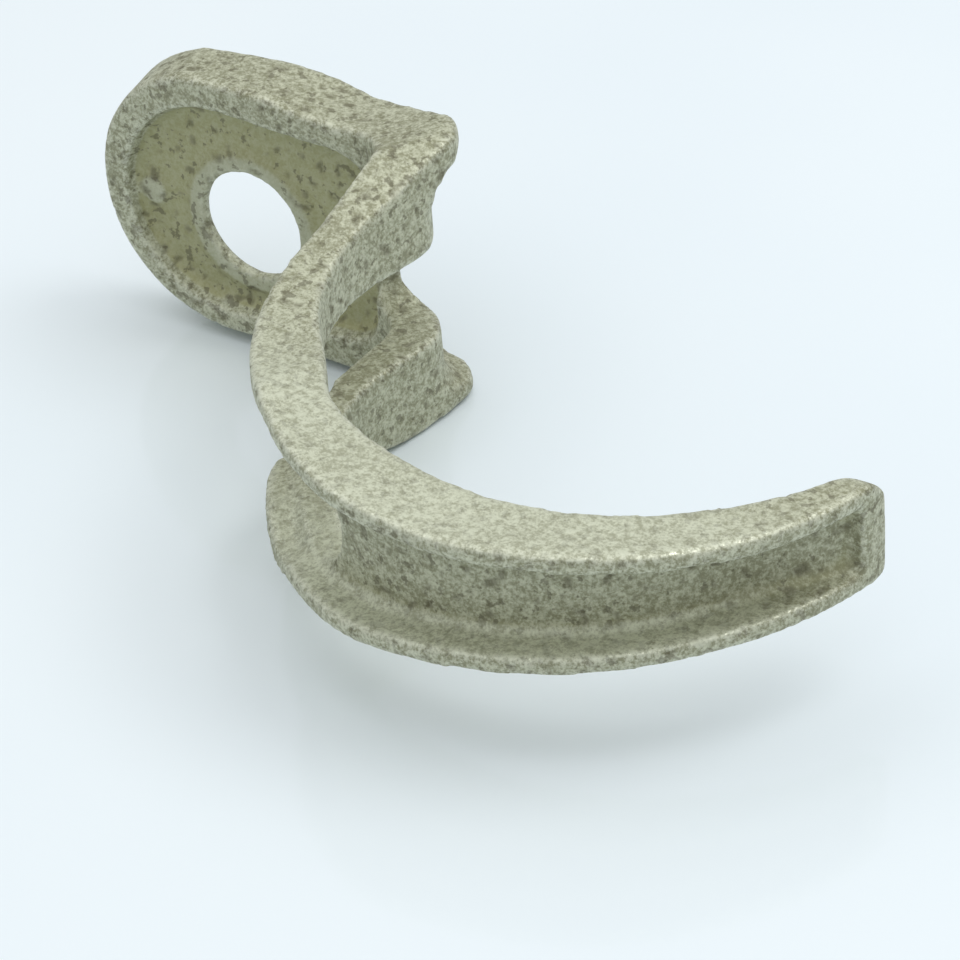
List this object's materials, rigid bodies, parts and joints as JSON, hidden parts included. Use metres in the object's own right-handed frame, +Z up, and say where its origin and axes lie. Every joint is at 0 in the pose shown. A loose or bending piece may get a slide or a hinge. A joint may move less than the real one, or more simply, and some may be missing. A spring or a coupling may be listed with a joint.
{
  "type": "gooseneck door hinge arm",
  "caption": "Cast gooseneck door hinge arm: an eye with a bore, a hairpin bend with a window through its wall and a C-shaped channel-section hook.",
  "frame": {"origin": "middle of the bounding box at the level of the lowest point, which is the surface the part lies on", "axes": "+X from the eye to the hook's tip, +Y from the hook to the back of the eye (along the bore), +Z up across the flanges"},
  "size_m": [0.1128, 0.0614, 0.0337],
  "materials": {
    "cast_metal": "bare as-cast metal, mottled grey-green, worn lighter on the edges"
  },
  "bodies": {
    "root": {"hinge_arm": "cast_metal"}
  },
  "joints": []
}
